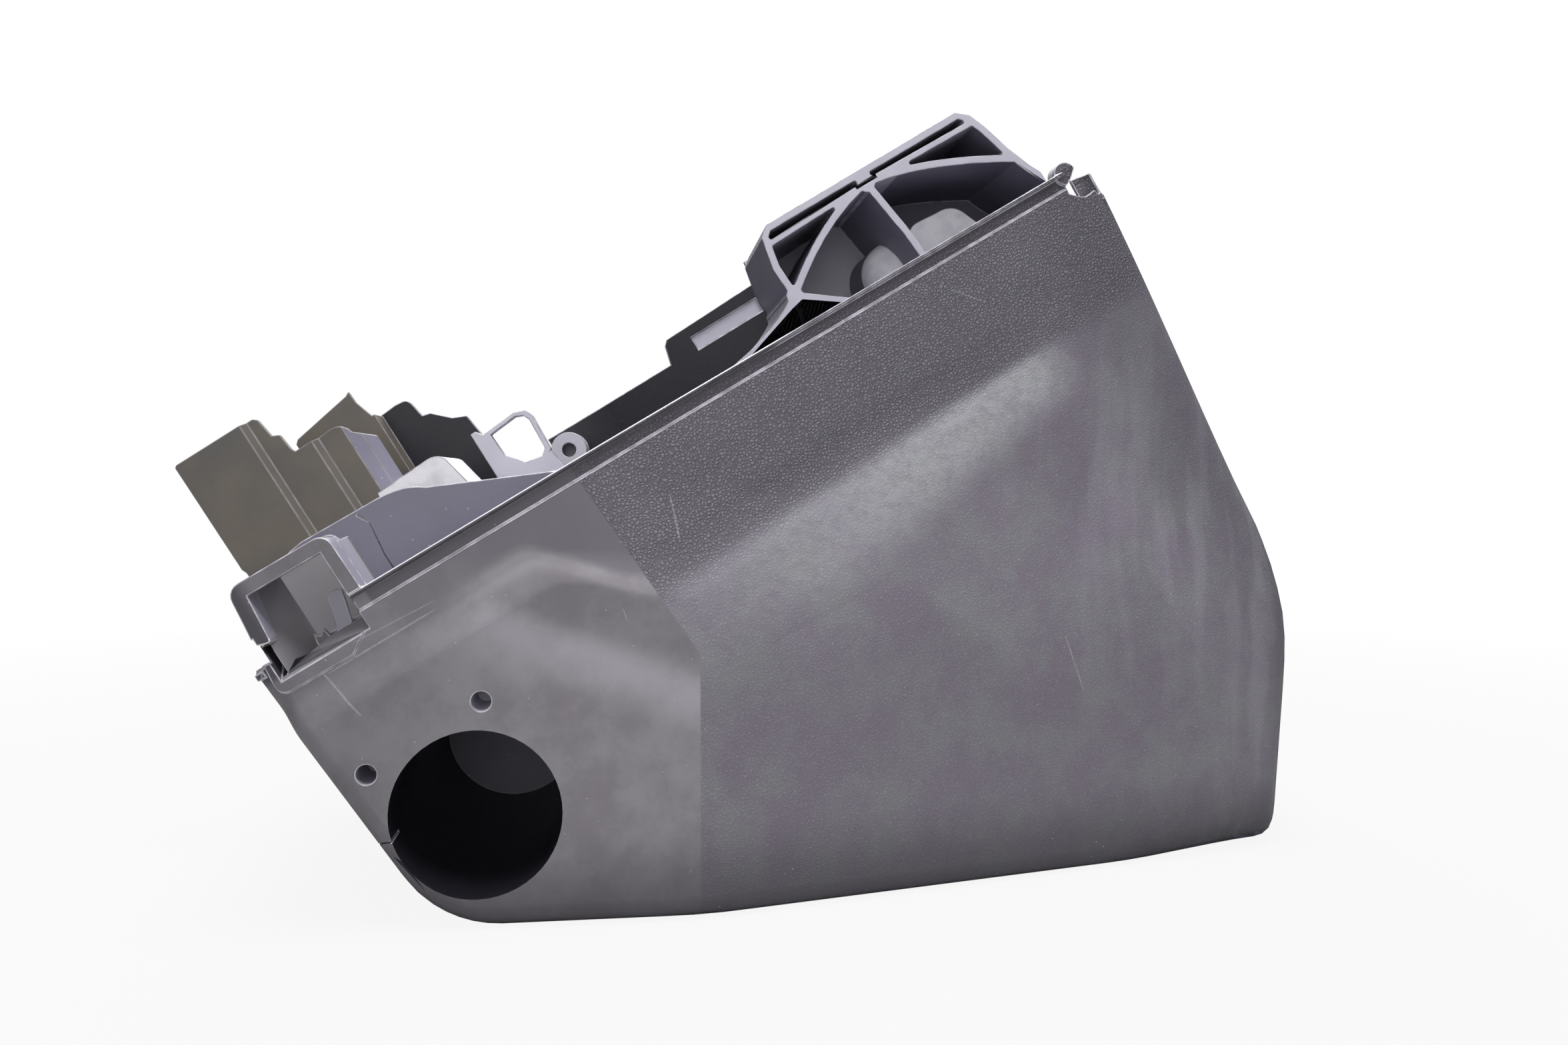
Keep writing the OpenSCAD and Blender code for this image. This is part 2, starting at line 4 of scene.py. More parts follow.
import bpy
from bpy.props import FloatProperty, FloatVectorProperty, PointerProperty
from mathutils import Matrix, Vector
from mathutils.bvhtree import BVHTree


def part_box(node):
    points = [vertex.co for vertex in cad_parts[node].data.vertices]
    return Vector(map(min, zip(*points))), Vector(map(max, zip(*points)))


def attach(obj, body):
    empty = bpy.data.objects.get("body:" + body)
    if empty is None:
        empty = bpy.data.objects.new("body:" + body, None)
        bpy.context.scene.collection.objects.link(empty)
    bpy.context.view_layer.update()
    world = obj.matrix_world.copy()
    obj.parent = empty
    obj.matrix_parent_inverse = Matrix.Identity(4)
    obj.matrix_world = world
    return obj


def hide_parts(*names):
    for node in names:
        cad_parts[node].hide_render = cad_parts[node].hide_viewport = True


bl_info = {
    "name": "Steering Support Box",
    "version": (1, 0, 0),
    "blender": (4, 5, 0),
    "location": "View3D > Sidebar > Support Box",
    "description": "Dresses the moulded steering support box and sets the studio around it",
    "category": "Object",
}

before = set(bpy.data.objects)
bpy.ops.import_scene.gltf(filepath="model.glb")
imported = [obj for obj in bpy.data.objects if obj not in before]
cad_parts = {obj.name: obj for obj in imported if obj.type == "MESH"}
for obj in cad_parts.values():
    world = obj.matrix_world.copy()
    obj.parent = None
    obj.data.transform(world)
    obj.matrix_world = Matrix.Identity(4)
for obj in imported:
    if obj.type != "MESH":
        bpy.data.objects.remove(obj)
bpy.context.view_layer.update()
HOUSING_NODE = "support_box"
CAD_LOW, CAD_HIGH = (Vector(corner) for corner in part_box(HOUSING_NODE))
MM = 0.001
PHOTO_WIDTH = 2352


def linear(hex_colour):
    """Linear red, green and blue of an sRGB hex value."""
    channels = [int(hex_colour[i:i + 2], 16) / 255 for i in (1, 3, 5)]
    return [c / 12.92 if c <= 0.04045 else ((c + 0.055) / 1.055) ** 2.4 for c in channels]


def length(name, description, millimetres):
    return FloatProperty(name=name, description=description, default=millimetres * MM, unit="LENGTH")


def angle(name, description, degrees):
    return FloatProperty(name=name, description=description, default=math.radians(degrees), subtype="ANGLE")


def colour(name, description, hex_colour):
    return FloatVectorProperty(name=name, description=description, default=linear(hex_colour),
                               subtype="COLOR", size=3, min=0.0, max=1.0)


class SupportBoxSizes(bpy.types.PropertyGroup):
    """Sizes of the box that the looks follow."""

    rim_slope: angle("Rim slope", "Slope of the open rim against the flat bottom", 31.2)
    rim_height: length("Rim height", "Height of the rim where the clip ear ends", 151)
    ear_end: length("Ear end", "Distance of the end of the clip ear behind the origin", 181.6)
    taper: angle("Taper", "Angle that each side panel turns inwards past the bend", 13)
    bend: length("Bend", "Place of the bend of the side panels along the box, low down", -35.6)
    bend_slant: length("Bend slant", "Distance by which the bend moves back up to the rim", 48)
    bracket_face: length("Bracket face", "Place of the rib faces of the bracket across the box", -45)
    port_along: length("Port along", "Place of the port centre along the box", -135.6)
    port_height: length("Port height", "Height of the port centre", 51)
    port_bore: length("Port bore", "Bore of the hose port", 74)
    skin_depth: length("Skin depth", "Depth under the panels that still counts as outer skin", 9.5)
    edge_round: length("Edge round", "Rounding of the moulded edges", 0.5)
    grain_pitch: length("Grain pitch", "Distance between the pebbles of the leather grain", 1.6)


class SupportBoxColours(bpy.types.PropertyGroup):
    """Colours of the plastic and the studio."""

    skin: colour("Skin", "Matt outer skin of the moulding", "#827e86")
    grain: colour("Grain", "Leather grained skin under the rim", "#6b6771")
    inside: colour("Inside", "Smooth inner faces with a violet tint", "#727080")
    # Nearly black, also standing in for the shade deep in the box
    core: colour("Core", "Polished deep faces, nearly black", "#1f1f26")
    # Pale painted highlight for rib faces and other faces that catch the light
    wiped: colour("Wiped", "Rib faces and domes, wiped smooth and pale", "#bdbbc7")
    plates: colour("Plates", "Brownish plates of the rear wing", "#5b5855")
    # Also the painted highlight on the domes, the hump, the tongue of the ear and the top of the lip
    dusted: colour("Dusted", "Domes and pockets dusted pale", "#f2f0f5")
    # The edge colour is also the pale of painted highlights on edges, ramp, crest, foot and nose streaks, and of
    # scratches and dust
    edge: colour("Edge", "Rounded edges, rubbed pale", "#c4c1cc")
    fracture: colour("Fracture", "Whitened plastic where the corner broke off", "#cfccd2")
    table: colour("Table", "Table and backdrop", "#a6a6a6")


class SupportBoxStudio(bpy.types.PropertyGroup):
    """Camera and lights."""

    camera_distance: length("Camera distance", "Distance of the camera from the near panel", 535)
    camera_along: length("Camera along", "Place of the camera past the end of the clip ear", 112.9)
    camera_height: length("Camera height", "Height of the camera above the table", 197.2)
    camera_yaw: angle("Camera yaw", "Turn of the camera towards the nose", 7.179)
    camera_pitch: angle("Camera pitch", "Turn of the camera down to the table", 2.136)
    focal_pixels: FloatProperty(name="Focal length", description="Focal length in pixels of the photograph",
                                default=1830)
    key_power: FloatProperty(name="Key power", description="Power of the large soft lamp left of the camera",
                             default=9, unit="POWER")
    top_power: FloatProperty(name="Top power", description="Power of the lamp over the box, a little in front",
                             default=21, unit="POWER")
    back_power: FloatProperty(name="Back power", description="Power of the lamp high behind the box",
                              default=12, unit="POWER")
    sky: FloatProperty(name="Sky", description="Strength of the even light from all around", default=0.26)


def settings():
    """Sizes, colours and studio values of the open scene."""
    scene = bpy.context.scene
    return scene.box_sizes, scene.box_colours, scene.box_studio


# ---- Frame of the sloping rim: u along it, y across the box, v square to it ----

def rim_foot(sizes):
    """Where the rim frame starts in the world: at the end of the clip ear."""
    return Vector((-sizes.ear_end, 0, sizes.rim_height))


def rim_place(sizes, u, y, v):
    """World place of a point of the rim frame, given in millimetres."""
    return rim_foot(sizes) + Matrix.Rotation(-sizes.rim_slope, 3, "Y") @ Vector((u, y, v)) * MM


def rim_coordinates(sizes, point):
    """Millimetres u, y, v of a world point in the rim frame."""
    return Matrix.Rotation(sizes.rim_slope, 3, "Y") @ (point - rim_foot(sizes)) / MM


# ---- Small steps of modelling ----

def select_only(piece):
    bpy.ops.object.select_all(action="DESELECT")
    piece.select_set(True)
    bpy.context.view_layer.objects.active = piece


def start_edit(piece):
    select_only(piece)
    bpy.ops.object.mode_set(mode="EDIT")
    bpy.ops.mesh.select_all(action="SELECT")


def apply_modifier(piece, kind, **values):
    """Add a modifier with its settings and apply it at once."""
    select_only(piece)
    modifier = piece.modifiers.new(kind.title(), kind)
    for name, value in values.items():
        setattr(modifier, name, value)
    bpy.ops.object.modifier_apply(modifier=modifier.name)


# ---- Nodes and patterns ----

def add_node(tree, kind, inputs=None, **values):
    """Add a node with its settings; each input is given a value or is linked to a socket."""
    node = tree.nodes.new(kind)
    for name, value in values.items():
        setattr(node, name, value)
    for name, value in (inputs or {}).items():
        if isinstance(value, bpy.types.NodeSocket):
            tree.links.new(value, node.inputs[name])
        else:
            node.inputs[name].default_value = value
    return node


def new_material(name):
    """A material with its node tree, its shader and the Object coordinates."""
    material = bpy.data.materials.new(name)
    material.use_nodes = True
    tree = material.node_tree
    place = add_node(tree, "ShaderNodeTexCoord").outputs["Object"]
    return material, tree, tree.nodes["Principled BSDF"], place


def new_plastic(name):
    """A material with the gloss of polypropylene, ready for one of its finishes."""
    material, tree, shader, place = new_material(name)
    shader.inputs["IOR"].default_value = 1.49
    return material, tree, shader, place


def tinted(rgb, *factors):
    """A colour for a socket, with its channels times one factor or times three."""
    return tuple(channel * factor for channel, factor in zip(rgb, (factors or (1.0,)) * 3)) + (1.0,)


def zone_share(tree, *limits, step="SMOOTHSTEP"):
    """Share with which a zone shows: its limits multiplied.

    A limit is a share, or else a value, where it starts and ends to change, and the shares before and after.
    """
    product = None
    for limit in limits:
        if isinstance(limit, tuple):
            value, start, end, before, after = limit
            limit = add_node(tree, "ShaderNodeMapRange", {
                "Value": value, "From Min": start, "From Max": end, "To Min": before, "To Max": after},
                interpolation_type=step).outputs["Result"]
        product = limit if product is None else add_node(
            tree, "ShaderNodeMath", {0: product, 1: limit}, operation="MULTIPLY").outputs[0]
    return product


def laid_over(tree, under, rgba, *limits, step="SMOOTHSTEP"):
    """A colour with another one laid over it, in the zone that the limits give."""
    share = zone_share(tree, *limits, step=step)
    return add_node(tree, "ShaderNodeMix", {0: share, 6: under, 7: rgba}, data_type="RGBA").outputs[2]


def mottle(tree, place, rgb, spot, spread):
    """Colour that drifts by a share of itself in soft spots of a real size."""
    spots = add_node(tree, "ShaderNodeTexNoise", {"Vector": place, "Scale": 1 / spot, "Detail": 4.0})
    return add_node(tree, "ShaderNodeMix", {
        0: spots.outputs["Fac"], 6: tinted(rgb, 1 - spread), 7: tinted(rgb, 1 + spread)},
        data_type="RGBA").outputs[2]


def fine_pits(tree, shader, place, size, detail, depth):
    """Bump of fine pits, with their size and depth in millimetres; gives back their pattern.

    The real pits are about 0.1 mm wide, too fine to show, so they are drawn as coarse as they need to show.
    """
    pits = add_node(tree, "ShaderNodeTexNoise", {"Vector": place, "Scale": 1 / (size * MM), "Detail": detail})
    relief = add_node(tree, "ShaderNodeBump", {"Height": pits.outputs["Fac"], "Distance": depth * MM})
    tree.links.new(relief.outputs["Normal"], shader.inputs["Normal"])
    return pits.outputs["Fac"]


def pebble_height(tree, place, pitch):
    """Height of leather grain: rounded pebbles of uneven size with narrow valleys between them."""
    drift = add_node(tree, "ShaderNodeTexNoise", {"Vector": place, "Scale": 0.4 / pitch})
    bent = add_node(tree, "ShaderNodeVectorMath", {0: drift.outputs["Color"], 1: (pitch,) * 3},
                    operation="MULTIPLY")
    moved = add_node(tree, "ShaderNodeVectorMath", {0: place, 1: bent.outputs[0]}, operation="ADD")
    cells = add_node(tree, "ShaderNodeTexVoronoi", {"Vector": moved.outputs[0], "Scale": 1 / pitch},
                     feature="DISTANCE_TO_EDGE")
    return add_node(tree, "ShaderNodeMapRange", {"Value": cells.outputs["Distance"], "From Max": 0.35},
                    interpolation_type="SMOOTHSTEP").outputs["Result"]


def rim_axes(tree, place, sizes):
    """Sockets of u and v in millimetres, for a pattern that follows the sloping rim."""
    turned = add_node(tree, "ShaderNodeMapping", {
        "Vector": place, "Location": rim_foot(sizes), "Rotation": (0, -sizes.rim_slope, 0),
        "Scale": (MM, MM, MM)}, vector_type="TEXTURE")
    axes = add_node(tree, "ShaderNodeSeparateXYZ", {"Vector": turned.outputs["Vector"]})
    return axes.outputs["X"], axes.outputs["Z"]


def box_axes(tree, place):
    """Sockets of X, Y and Z in millimetres, for a pattern that follows the upright box."""
    scaled = add_node(tree, "ShaderNodeMapping", {"Vector": place, "Scale": (1 / MM, 1 / MM, 1 / MM)})
    return add_node(tree, "ShaderNodeSeparateXYZ", {"Vector": scaled.outputs["Vector"]}).outputs


def scratch(tree, along, up, start, end, width):
    """One in the middle of a straight scratch between two places in millimetres, nought outside it."""
    run = Vector(end) - Vector(start)
    middle = (Vector(end) + Vector(start)) / 2
    flat = add_node(tree, "ShaderNodeCombineXYZ", {"X": along, "Y": up})
    local = add_node(tree, "ShaderNodeMapping", {
        "Vector": flat.outputs["Vector"], "Location": (*middle, 0),
        "Rotation": (0, 0, math.atan2(run.y, run.x))}, vector_type="TEXTURE")
    away = add_node(tree, "ShaderNodeVectorMath", {
        0: local.outputs["Vector"], 1: (2 / run.length, 2 / width, 0)}, operation="MULTIPLY")
    reach = add_node(tree, "ShaderNodeVectorMath", {0: away.outputs[0]}, operation="LENGTH")
    sides = add_node(tree, "ShaderNodeSeparateXYZ", {"Vector": away.outputs[0]})
    thin = add_node(tree, "ShaderNodeMath", {0: sides.outputs["Y"]}, operation="ABSOLUTE")
    inside = add_node(tree, "ShaderNodeMath", {0: reach.outputs["Value"], 1: 1.0}, operation="LESS_THAN")
    return zone_share(tree, (thin.outputs[0], 0.4, 1.0, 1, 0), inside.outputs[0], step="LINEAR")


# ---- Outer skin ----

# Light scratches and scuffs of the near panel, and thin pale lines painted as highlights on the edges of the
# plinth and the creases beside the ear: start and end as u and v, and width
PANEL_SCRATCHES = (
    ((87.9, -66.4), (86.7, -71.7), 0.7),
    ((-35.0, -23.4), (-33.0, -33.0), 1.2),
    ((-33.2, -31.5), (-29.9, -47.0), 1.2),
    ((-34.0, -24.2), (19.5, -24.4), 1.1),
    ((-17.0, -18.6), (21.0, -21.0), 0.6),
    ((-56.3, -9.2), (-58.3, -12.3), 1.3),
    ((131.6, -34.4), (124.6, -54.5), 1.2),
    ((335.0, -76.0), (337.1, -81.4), 0.6),
    ((299.0, -22.0), (310.0, -34.0), 0.7),
    ((262.0, -196.0), (256.0, -226.0), 0.9),
)
# Start of the grain: as u with its lean against v, low down as X, and the width of its edge
GRAIN_START = 100.0
GRAIN_START_LEAN = 0.056
GRAIN_START_LOW = -38.6
GRAIN_EDGE_WIDTH = 0.5
# Line of the moulded ramp: it drops between two places u, from one height v to another
RAMP_DROP = (60, 109, -26, -66)
# Foot of the ramp: its depth under the rim over the port, and from which u and how steeply it falls
FOOT_DEPTH = 42
FOOT_TURN = 39
FOOT_FALL = 1.22
# Share of the box's length, width and height that a cloud of scuffs takes
SCUFF_SHARE = 0.011


class SkinPlaces:
    """Sockets in millimetres, by which grain, wear and dirt find their place on the skin."""

    def __init__(self, tree, place, sizes):
        self.along, self.up = rim_axes(tree, place, sizes)
        box = box_axes(tree, place)
        self.x, self.z = box["X"], box["Z"]
        start, end, before, after = RAMP_DROP
        line = add_node(tree, "ShaderNodeMapRange", {
            "Value": self.along, "From Min": start, "From Max": end, "To Min": before, "To Max": after},
            interpolation_type="SMOOTHSTEP")
        self.below_ramp = add_node(tree, "ShaderNodeMath", {0: line.outputs[0], 1: self.up},
                                   operation="SUBTRACT").outputs[0]
        past = add_node(tree, "ShaderNodeMath", {0: self.along, 1: FOOT_TURN}, operation="SUBTRACT")
        falling = add_node(tree, "ShaderNodeMath", {0: past.outputs[0], 1: 0.0}, operation="MAXIMUM")
        drop = add_node(tree, "ShaderNodeMath", {0: falling.outputs[0], 1: FOOT_FALL, 2: FOOT_DEPTH},
                        operation="MULTIPLY_ADD")
        self.above_foot = add_node(tree, "ShaderNodeMath", {0: drop.outputs[0], 1: self.up},
                                   operation="ADD").outputs[0]
        # Only the near panel has the ramp, so its wear and its painted highlights and shade stop halfway to the
        # plain far panel
        self.near = zone_share(tree, (box["Y"], -60, -30, 1, 0))


def grained_part(tree, at):
    """One on the grained part, which starts at a line square to the rim, low down at an upright line."""
    lean = add_node(tree, "ShaderNodeMath", {0: at.up, 1: GRAIN_START_LEAN, 2: at.along},
                    operation="MULTIPLY_ADD")
    starts = [zone_share(tree, (value, start, start + GRAIN_EDGE_WIDTH, 0, 1), step="LINEAR")
              for value, start in ((lean.outputs[0], GRAIN_START), (at.x, GRAIN_START_LOW))]
    return add_node(tree, "ShaderNodeMath", {0: starts[0], 1: starts[1]}, operation="MAXIMUM").outputs[0]


def ramp_scuffs_and_highlight(tree, place, at):
    """Share of pale fine scuffs and a painted highlight on the ramp: broad and faint over the port, narrow and
    strong to the nose.
    """
    width = zone_share(tree, (at.along, 150, 330, 58, 36))
    across = add_node(tree, "ShaderNodeMath", {0: at.below_ramp, 1: width}, operation="DIVIDE").outputs[0]
    # The clouds are drawn out along the box, by about 6 mm to 3 mm
    spot = (CAD_HIGH - CAD_LOW) * SCUFF_SHARE
    drawn = add_node(tree, "ShaderNodeMapping", {
        "Vector": place, "Location": CAD_LOW, "Scale": spot}, vector_type="TEXTURE")
    clouds = add_node(tree, "ShaderNodeTexNoise", {"Vector": drawn.outputs["Vector"], "Scale": 1.0,
                                                   "Detail": 6.0, "Roughness": 0.65})
    return zone_share(tree, (across, 0.0, 0.22, 0, 1), (across, 0.45, 1.1, 1, 0),
                      (at.along, 90, 290, 0.1, 0.5), (at.along, 312, 348, 1, 0),
                      (clouds.outputs["Fac"], 0.3, 0.62, 0.68, 1.18))


def smooth_part(tree, colours, clouds, at):
    """Colour of the smooth part round the port: slightly green, with painted highlights at the crest and the
    foot, and painted shade in the dip between them and above the ramp.
    """
    pale = tinted(colours.edge)
    over_port = zone_share(tree, (at.along, 14, 44, 0, 1), at.near)
    plain = laid_over(tree, tinted(colours.skin, 0.9, 0.89, 0.86), tinted(colours.skin, 1.18, 1.2, 1.14),
                      (clouds, 0.36, 0.64, 0, 1))
    # A painted highlight on the foot of the ramp over the port
    lit_foot = laid_over(tree, plain, pale, (at.above_foot, -4, 17, 0.32, 0), (at.above_foot, -40, -5, 0, 1),
                     over_port)
    # Painted shade lies in the dip between the crest and the foot
    shaded_dip = laid_over(tree, lit_foot, tinted(colours.grain, 0.6), (at.below_ramp, 3, 9, 0, 0.3),
                       (at.above_foot, 3, 21, 0, 1), over_port)
    # A painted highlight along the crest of the ramp
    off_crest = add_node(tree, "ShaderNodeMath", {0: at.below_ramp}, operation="ABSOLUTE").outputs[0]
    crested = laid_over(tree, shaded_dip, pale, (off_crest, 1.5, 6, 0.15, 0), over_port, (at.along, 62, 84, 1, 0.4))
    # Above the ramp painted shade makes it as dark as the grained strip
    return laid_over(tree, crested, tinted(colours.grain, 0.92), (at.below_ramp, -9, -2, 1, 0),
                     (at.along, 8, 58, 0, 0.85))


def ends_and_bottom(tree, colours, skin, at):
    """The skin made darker towards the bottom edge, the nose, the heel and the ear."""
    lowered = laid_over(tree, skin, tinted(colours.grain, 0.3), (at.z, 4, 50, 0.72, 0))
    shade = 0.0
    for zone in (
            ((at.along, 330, 378, 0, 0.3),),
            ((at.x, -230, -70, 0.44, 0),),
            ((at.along, -50, -38, 0.62, 0), (at.up, -17, -13, 0, 1)),
    ):
        shade = add_node(tree, "ShaderNodeMath", {0: shade, 1: zone_share(tree, *zone)},
                         operation="ADD").outputs[0]
    return laid_over(tree, lowered, tinted(colours.grain, 0.4), shade)


def nose_streak_highlights(tree, colours, skin, place, at):
    """The skin with upright pale streaks on the nose: a painted highlight of its soft undulations."""
    upright = add_node(tree, "ShaderNodeMapping", {"Vector": place, "Scale": (1.0, 1.0, 0.12)})
    runs = add_node(tree, "ShaderNodeTexNoise", {
        "Vector": upright.outputs["Vector"], "Scale": 1 / (15 * MM), "Detail": 2.0})
    return laid_over(tree, skin, tinted(colours.edge), (runs.outputs["Fac"], 0.42, 0.7, 0, 0.13),
                     (at.along, 230, 340, 0, 1), (at.below_ramp, 10, 40, 0, 1))


def scratches_and_dust(tree, colours, skin, place, at):
    """The skin with its light scratches, painted highlight lines on the plinth edges, and grains of dust as pale
    dots.
    """
    marks = 0.0
    for start, end, width in PANEL_SCRATCHES:
        marks = add_node(tree, "ShaderNodeMath", {
            0: marks, 1: scratch(tree, at.along, at.up, start, end, width)}, operation="MAXIMUM").outputs[0]
    broken = add_node(tree, "ShaderNodeTexNoise", {"Vector": place, "Scale": 1 / (1.5 * MM)})
    marked = laid_over(tree, skin, tinted(colours.edge), marks, at.near, broken.outputs["Fac"], 0.6)
    grains = add_node(tree, "ShaderNodeTexVoronoi", {"Vector": place, "Scale": 1 / (7 * MM)}, feature="F1")
    return laid_over(tree, marked, tinted(colours.edge), (grains.outputs["Distance"], 0.035, 0.06, 0.45, 0))


def moulded_skin(sizes, colours):
    """Filled polypropylene from an eroded mould: matt, part leather grained, dusty with fine scuffs."""
    material, tree, shader, place = new_plastic("Moulded polypropylene, matt and leather grained")
    at = SkinPlaces(tree, place, sizes)
    grained = grained_part(tree, at)
    # The grain is deepest in the strip under the rim and fades below the ramp
    deep = zone_share(tree, (at.below_ramp, -4, 12, 1, 0.3))
    pebbles = pebble_height(tree, place, sizes.grain_pitch)
    shown = zone_share(tree, pebbles, grained, deep)
    # The pits of the eroded mould, too fine to show at their real 0.1 mm, are drawn 0.7 mm wide
    eroded = add_node(tree, "ShaderNodeTexNoise", {"Vector": place, "Scale": 1 / (0.7 * MM), "Detail": 2.0})
    fine = add_node(tree, "ShaderNodeBump", {"Height": eroded.outputs["Fac"], "Distance": 0.06 * MM,
                                             "Strength": 0.7})
    relief = add_node(tree, "ShaderNodeBump", {"Height": shown, "Distance": 0.32 * MM,
                                               "Normal": fine.outputs["Normal"]})
    tree.links.new(relief.outputs["Normal"], shader.inputs["Normal"])

    clouds = add_node(tree, "ShaderNodeTexNoise", {
        "Vector": place, "Scale": 1 / (30 * MM), "Detail": 9.0, "Roughness": 0.66}).outputs["Fac"]
    violet = laid_over(tree, tinted(colours.skin, 0.93, 0.86, 0.96), tinted(colours.skin, 1.06, 1.13, 1.06),
                       (clouds, 0.38, 0.62, 0, 1))
    leather = mottle(tree, place, colours.grain, 24 * MM, 0.16)
    below_strip = laid_over(tree, violet, leather, deep)
    skin = laid_over(tree, smooth_part(tree, colours, clouds, at), below_strip, grained)
    # Tops of the pebbles are lighter, and the valleys between them darker
    between = add_node(tree, "ShaderNodeMath", {0: 1.0, 1: pebbles}, operation="SUBTRACT").outputs[0]
    skin = laid_over(tree, skin, tinted(colours.grain, 0.4), between, 0.4, grained, deep)
    skin = laid_over(tree, skin, tinted(colours.edge), shown, 0.12)
    # Painted shade darkens the fold 7 mm over the ramp, and scuffs lie on its foot
    fold = add_node(tree, "ShaderNodeMath", {0: at.below_ramp, 1: 7}, operation="ADD")
    off_fold = add_node(tree, "ShaderNodeMath", {0: fold.outputs[0]}, operation="ABSOLUTE").outputs[0]
    skin = laid_over(tree, skin, tinted(colours.grain, 0.42), (off_fold, 3, 15, 0.24, 0), grained, at.near,
                     (at.along, 290, 330, 1, 0))
    # Pale scuffs with a painted highlight along the ramp, on the near panel only
    skin = laid_over(tree, skin, tinted(colours.edge, 0.95, 1.0, 0.93), ramp_scuffs_and_highlight(tree, place, at), grained,
                     at.near)
    skin = ends_and_bottom(tree, colours, skin, at)
    skin = nose_streak_highlights(tree, colours, skin, place, at)
    # Between the lip and the ledge of the rim painted shade darkens the groove
    skin = laid_over(tree, skin, tinted(colours.grain, 0.3), (at.up, -9.6, -8.6, 0, 1),
                     (at.up, 0.3, 0.8, 0.62, 0), (at.along, -3, -1, 0, 1))
    skin = scratches_and_dust(tree, colours, skin, place, at)
    tree.links.new(skin, shader.inputs["Base Color"])

    uneven = add_node(tree, "ShaderNodeTexNoise", {"Vector": place, "Scale": 1 / (25 * MM), "Detail": 5.0})
    rough = add_node(tree, "ShaderNodeMapRange", {"Value": uneven.outputs["Fac"], "To Min": 0.44, "To Max": 0.66})
    tree.links.new(rough.outputs[0], shader.inputs["Roughness"])
    return material


# ---- Finishes of the inside, the edges and the break ----

def smooth_inside(sizes, colours):
    """The same plastic from a polished core: smoother, with a violet cast, soft mottling and dust specks."""
    material, tree, shader, place = new_plastic("Moulded polypropylene, smooth inner face")
    base = mottle(tree, place, colours.inside, 24 * MM, 0.16)
    specks = add_node(tree, "ShaderNodeTexVoronoi", {"Vector": place, "Scale": 1 / (5 * MM)}, feature="F1")
    dusty = laid_over(tree, base, tinted(colours.edge), (specks.outputs["Distance"], 0.05, 0.09, 0.5, 0),
                      step="LINEAR")
    tree.links.new(dusty, shader.inputs["Base Color"])
    pits = fine_pits(tree, shader, place, 1.1, 3.0, 0.04)
    rough = add_node(tree, "ShaderNodeMapRange", {"Value": pits, "To Min": 0.36, "To Max": 0.56})
    tree.links.new(rough.outputs[0], shader.inputs["Roughness"])
    return material


def stained_plate(sizes, colours):
    """The rear plates of the same plastic, stained brownish by old grease in broad soft clouds."""
    material, tree, shader, place = new_plastic("Moulded polypropylene, stained plate")
    clouds = add_node(tree, "ShaderNodeTexNoise", {"Vector": place, "Scale": 1 / (45 * MM), "Detail": 3.0})
    stained = laid_over(tree, tinted(colours.plates, 0.86), tinted(colours.plates, 1.2, 1.1, 0.95),
                        (clouds.outputs["Fac"], 0.35, 0.65, 0, 1))
    # Low down, behind the window of the ear, the plate is painted paler: painted light where the ear shades it
    _, up = rim_axes(tree, place, sizes)
    lit_low_plate = laid_over(tree, stained, tinted(colours.wiped), (up, 24, 34, 0.35, 0))
    tree.links.new(lit_low_plate, shader.inputs["Base Color"])
    fine_pits(tree, shader, place, 0.9, 2.0, 0.05)
    shader.inputs["Roughness"].default_value = 0.5
    return material


def polished_core_shade(sizes, colours):
    """Deep faces that the core of the mould polished: painted nearly black, which also stands in for the shade
    deep in the box, a little glossy, with thin dust.
    """
    material, tree, shader, place = new_plastic("Moulded polypropylene, polished deep face in painted shade")
    base = mottle(tree, place, colours.core, 20 * MM, 0.2)
    dust = add_node(tree, "ShaderNodeTexNoise", {
        "Vector": place, "Scale": 1 / (0.8 * MM), "Detail": 3.0}).outputs["Fac"]
    dusty = laid_over(tree, base, tinted(colours.inside), (dust, 0.58, 0.8, 0, 0.25), step="LINEAR")
    tree.links.new(dusty, shader.inputs["Base Color"])
    rough = add_node(tree, "ShaderNodeMapRange", {"Value": dust, "To Min": 0.28, "To Max": 0.5})
    tree.links.new(rough.outputs[0], shader.inputs["Roughness"])
    shader.inputs["Specular IOR Level"].default_value = 0.3
    return material


def pale_lit_face(sizes, colours):
    """Rib faces and domes that catch the light: smooth, pale violet grey as a painted highlight, with faint
    rubbed streaks.
    """
    material, tree, shader, place = new_plastic("Moulded polypropylene, pale with painted highlight")
    base = mottle(tree, place, colours.wiped, 16 * MM, 0.14)
    drawn = add_node(tree, "ShaderNodeMapping", {
        "Vector": place, "Rotation": (0, -sizes.rim_slope, 0), "Scale": (0.2, 1.0, 1.0)})
    streaks = add_node(tree, "ShaderNodeTexNoise", {
        "Vector": drawn.outputs["Vector"], "Scale": 1 / (1.5 * MM), "Detail": 3.0}).outputs["Fac"]
    rubbed = laid_over(tree, base, tinted(colours.edge), (streaks, 0.55, 0.75, 0, 0.15), step="LINEAR")
    # The clip ear gets less of the painted highlight than the ribs
    along, _ = rim_axes(tree, place, sizes)
    final = laid_over(tree, rubbed, tinted(colours.inside), (along, 2, 12, 0.55, 0))
    tree.links.new(final, shader.inputs["Base Color"])
    relief = add_node(tree, "ShaderNodeBump", {"Height": streaks, "Distance": 0.02 * MM})
    tree.links.new(relief.outputs["Normal"], shader.inputs["Normal"])
    shader.inputs["Roughness"].default_value = 0.36
    return material


